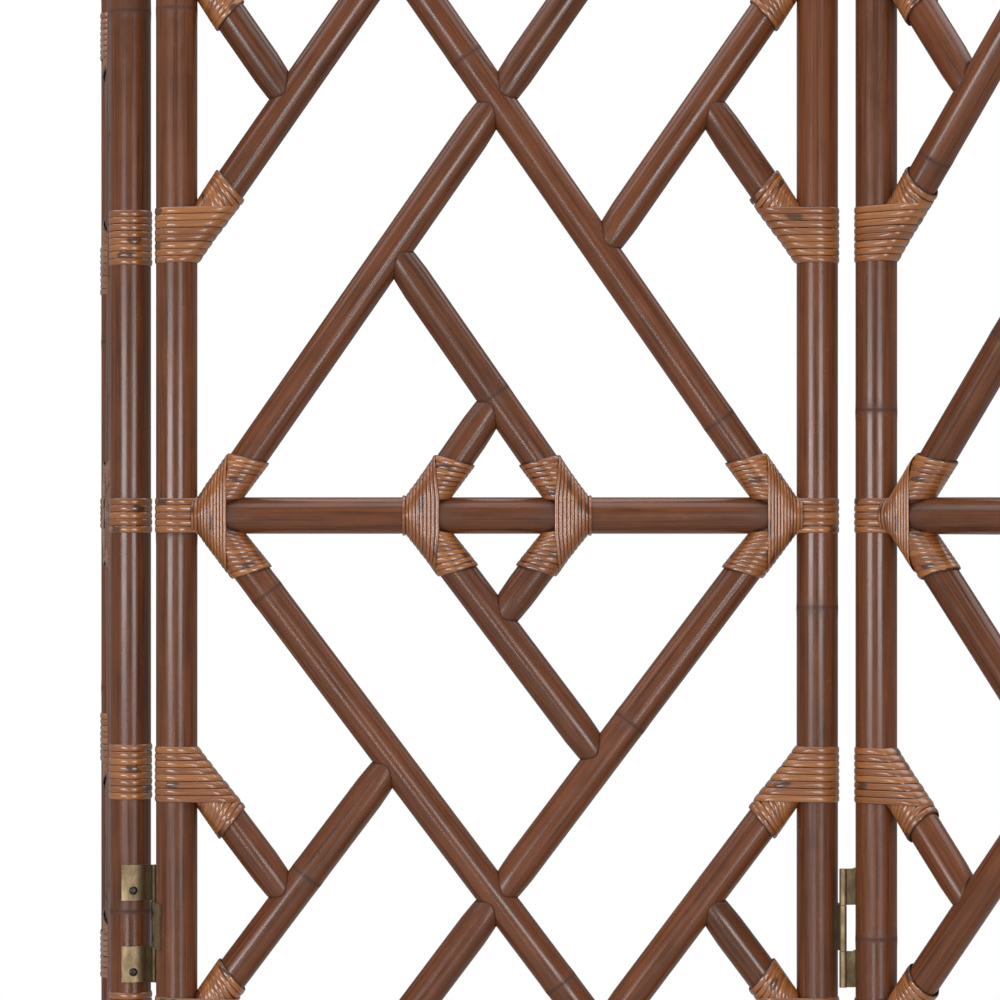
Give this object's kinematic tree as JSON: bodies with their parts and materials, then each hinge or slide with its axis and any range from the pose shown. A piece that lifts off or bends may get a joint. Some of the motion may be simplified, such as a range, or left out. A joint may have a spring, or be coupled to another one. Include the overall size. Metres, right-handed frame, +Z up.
{
  "type": "folding room divider",
  "caption": "Folding rattan room divider: tall panels of round poles in diamond fretwork, bound with wound peel at the joints and linked by brass hinges so that it stands in a zigzag.",
  "frame": {"origin": "on the floor, under the middle of the outline of the half-open screen", "axes": "+Z up along the posts, +X across the middle panel to its right as seen from the front, +Y to the back"},
  "size_m": [1.0024, 0.8386, 1.84],
  "materials": {
    "rattan_pole": "satin lacquer",
    "rattan_peel": "gloss",
    "dowel_wood": "matte",
    "antique_brass": "aged satin",
    "dark_steel": "blackened"
  },
  "bodies": {
    "middle_panel": {"left_hinge_inner_leaves": "antique_brass", "left_hinge_pins": "dark_steel", "middle_panel_bottom_rail": "rattan_pole", "middle_panel_fret_dowels": "dowel_wood", "middle_panel_half_braces": "rattan_pole", "middle_panel_hinge_screws": "dark_steel", "middle_panel_inner_frets": "rattan_pole", "middle_panel_left_post": "rattan_pole", "middle_panel_long_braces": "rattan_pole", "middle_panel_lower_rail": "rattan_pole", "middle_panel_outer_frets": "rattan_pole", "middle_panel_post_bindings": "rattan_peel", "middle_panel_rail_bindings": "rattan_peel", "middle_panel_rail_end_bindings": "rattan_peel", "middle_panel_right_post": "rattan_pole", "middle_panel_top_rail": "rattan_pole", "middle_panel_upper_rail": "rattan_pole", "right_hinge_inner_leaves": "antique_brass", "right_hinge_pins": "dark_steel"},
    "left_panel": {"left_hinge_outer_leaves": "antique_brass", "left_panel_bottom_rail": "rattan_pole", "left_panel_fret_dowels": "dowel_wood", "left_panel_half_braces": "rattan_pole", "left_panel_hinge_screws": "dark_steel", "left_panel_inner_frets": "rattan_pole", "left_panel_left_post": "rattan_pole", "left_panel_long_braces": "rattan_pole", "left_panel_lower_rail": "rattan_pole", "left_panel_outer_frets": "rattan_pole", "left_panel_post_bindings": "rattan_peel", "left_panel_rail_bindings": "rattan_peel", "left_panel_rail_end_bindings": "rattan_peel", "left_panel_right_post": "rattan_pole", "left_panel_top_rail": "rattan_pole", "left_panel_upper_rail": "rattan_pole"},
    "right_panel": {"right_hinge_outer_leaves": "antique_brass", "right_panel_bottom_rail": "rattan_pole", "right_panel_fret_dowels": "dowel_wood", "right_panel_half_braces": "rattan_pole", "right_panel_hinge_screws": "dark_steel", "right_panel_inner_frets": "rattan_pole", "right_panel_left_post": "rattan_pole", "right_panel_long_braces": "rattan_pole", "right_panel_lower_rail": "rattan_pole", "right_panel_outer_frets": "rattan_pole", "right_panel_post_bindings": "rattan_peel", "right_panel_rail_bindings": "rattan_peel", "right_panel_rail_end_bindings": "rattan_peel", "right_panel_right_post": "rattan_pole", "right_panel_top_rail": "rattan_pole", "right_panel_upper_rail": "rattan_pole"}
  },
  "joints": [
    {"name": "left_fold", "type": "hinge", "parent": "middle_panel", "child": "left_panel", "pos_m": [-0.41578, -0.08083, 0.92], "axis": [0, 0, -1], "range_deg": [-84, 96]},
    {"name": "right_fold", "type": "hinge", "parent": "middle_panel", "child": "right_panel", "pos_m": [0.08922, -0.11583, 0.92], "axis": [0, 0, -1], "range_deg": [-38, 142]}
  ]
}
